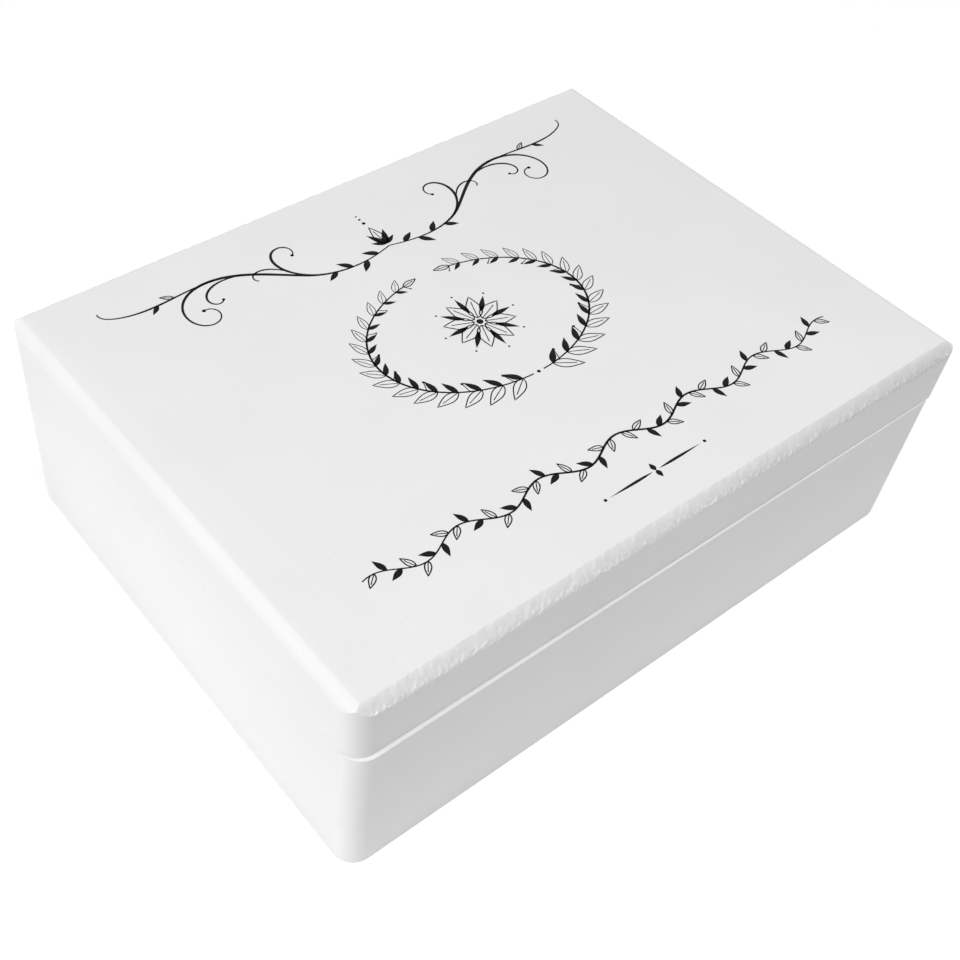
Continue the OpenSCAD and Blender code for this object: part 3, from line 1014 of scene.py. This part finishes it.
def print_divider():
    """A short tapering line under the garland, with a pair of leaves in its middle."""
    motif = Motif()
    level = -122
    bar, bar_start = (28, 1.7), 2.5
    middle_leaf = (5, 3.2)
    dot_distance = 33.5
    motif.leaf((bar_start, level), 0, bar)
    for heading in (90, -90):
        motif.leaf((0, level), heading, middle_leaf, halves=MIDDLE_ONLY)
    motif.dot((dot_distance, level), 0.9)
    motif.printed("lid_ornament_divider")


print_flourish()
print_wreath()
print_blossom()
print_garland()
print_divider()


# ---- Hinges ----------------------------------------------------------------

for hinge in HINGES:
    for part in ("body_leaf", "lid_leaf", "pin"):
        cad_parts[f"{hinge}_{part}"].material_slots[0].material = hinge_nickel
    for part in ("body_screws", "lid_screws"):
        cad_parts[f"{hinge}_{part}"].material_slots[0].material = screw_zinc


# ---- Floor, light and camera -----------------------------------------------


def seen_directly(tree):
    """One for what the camera sees, by itself or in a reflection, and nought for its light."""
    rays = add(tree, "ShaderNodeLightPath", output=None).outputs
    return add(tree, "ShaderNodeMath:MAXIMUM", rays["Is Camera Ray"], rays["Is Glossy Ray"])


def pale_floor():
    """A plain pale table top. The camera sees it lifted to white, under a soft shadow."""
    material, tree = new_material("studio_floor")
    kept_shadow = 0.3
    glow_level = 0.8
    seen = seen_directly(tree)
    matt = add(tree, "ShaderNodeBsdfDiffuse", {"Color": linear("#F4F4F4")})
    veil_share = add(tree, "ShaderNodeMath:MULTIPLY", seen, 1 - kept_shadow)
    veiled = add(tree, "ShaderNodeMixShader", veil_share, matt)
    level = add(tree, "ShaderNodeMath:MULTIPLY", seen, glow_level)
    glow = add(tree, "ShaderNodeEmission", {"Color": linear("#FFFFFF"), "Strength": level})
    surface = add(tree, "ShaderNodeAddShader", veiled, glow)
    add(tree, "ShaderNodeOutputMaterial", {"Surface": surface}, output=None)

    floor_size = 1.3
    shape = bmesh.new()
    bmesh.ops.create_grid(shape, x_segments=1, y_segments=1, size=floor_size / 2)
    mesh = bpy.data.meshes.new("studio_floor")
    shape.to_mesh(mesh)
    shape.free()
    mesh.materials.append(material)
    new_object("studio_floor", mesh)


def studio_world(zenith):
    """White behind everything. The light on the box comes from a soft white ceiling that is
    brightest overhead and fades out towards the horizon."""
    world = bpy.data.worlds.new("studio")
    world.use_nodes = True
    tree = world.node_tree
    tree.nodes.clear()
    seen = seen_directly(tree)
    direction = add(tree, "ShaderNodeTexCoord", output="Generated")
    upwards = add(tree, "ShaderNodeSeparateXYZ", direction, output="Z")
    ceiling = add(tree, "ShaderNodeMapRange", upwards, 0.0, 1.0, 0.0, zenith)
    level = add(tree, "ShaderNodeMapRange", seen, 0.0, 1.0, ceiling, 1.0)
    glow = add(tree, "ShaderNodeBackground", {"Color": linear("#FFFFFF"), "Strength": level})
    add(tree, "ShaderNodeOutputWorld", {"Surface": glow}, output=None)
    bpy.context.scene.world = world


def soft_lamp(name, place, aim, size, power):
    """A square softbox at a place, turned to a point."""
    lamp = bpy.data.lights.new(name, "AREA")
    lamp.shape = "SQUARE"
    lamp.size = size
    lamp.energy = power
    made = new_object(name, lamp)
    made.location = place
    made.rotation_euler = (Vector(aim) - Vector(place)).to_track_quat("-Z", "Y").to_euler()


def photo_camera():
    """The camera of the photograph, above and to the left of the box's near corner."""
    image_width = 960
    focal_length = 1345.25  # in pixels of that width
    middle_x, middle_y = 360.39, 506.41  # where the view's axis meets the picture
    place = Vector((-390.10, -368.89, 595.32)) * MM
    yaw, pitch, roll = (math.radians(angle) for angle in (40.0354, -48.8515, 3.6804))
    data = bpy.data.cameras.new("camera")
    data.sensor_width = 36
    data.lens = focal_length * data.sensor_width / image_width
    data.shift_x = (image_width / 2 - middle_x) / image_width
    data.shift_y = (middle_y - image_width / 2) / image_width
    data.clip_start = 0.05
    data.clip_end = 50
    camera = new_object("camera", data)
    turned = (
        Matrix.Rotation(-yaw, 4, "Z")
        @ Matrix.Rotation(math.pi / 2 + pitch, 4, "X")
        @ Matrix.Rotation(roll, 4, "Z")
    )
    camera.matrix_world = Matrix.Translation(place) @ turned
    bpy.context.scene.camera = camera


pale_floor()
studio_world(0.41)
soft_lamp("left_softbox", (-1.4, -0.1, 0.9), (0, 0, 0.1), 2.0, 11.8)
soft_lamp("low_left_softbox", (-1.6, 0.1, 0.5), (-0.2, 0, 0.08), 0.9, 6.2)
soft_lamp("overhead_softbox", (0, -0.3, 3.0), (0, -0.3, 0), 1.0, 24.9)
soft_lamp("right_softbox", (0.9, -0.9, 1.8), (0.1, -0.1, 0.05), 0.8, 8.5)
photo_camera()
bpy.context.scene.view_settings.view_transform = "Standard"
